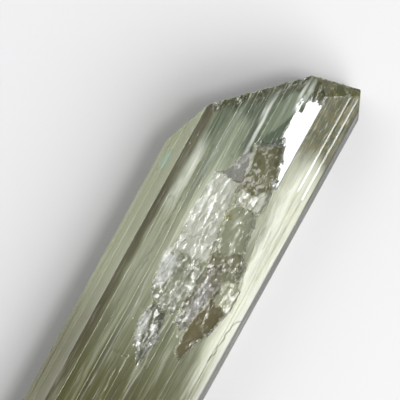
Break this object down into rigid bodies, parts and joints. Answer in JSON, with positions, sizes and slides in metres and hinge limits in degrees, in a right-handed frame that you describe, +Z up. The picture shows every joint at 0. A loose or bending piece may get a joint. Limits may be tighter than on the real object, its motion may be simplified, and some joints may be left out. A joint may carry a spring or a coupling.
{
  "type": "hiddenite crystal",
  "caption": "Loose flattened prismatic crystal, ridged lengthwise, with an oblique chisel tip, an etched hollow in its front face and a splintery broken end; lies on its back face.",
  "frame": {"origin": "centre of the bounding box's base, in the plane of the back face that the crystal rests on", "axes": "+Y lengthwise towards the chisel tip, +X across the broad faces towards the tip's apex, +Z up out of the front face"},
  "size_m": [0.015, 0.056, 0.0082],
  "materials": {
    "crystal": "clear to silky pale yellow-green, glassy on the faces and frosted where etched"
  },
  "bodies": {
    "root": {"hiddenite_crystal": "crystal"}
  },
  "joints": []
}
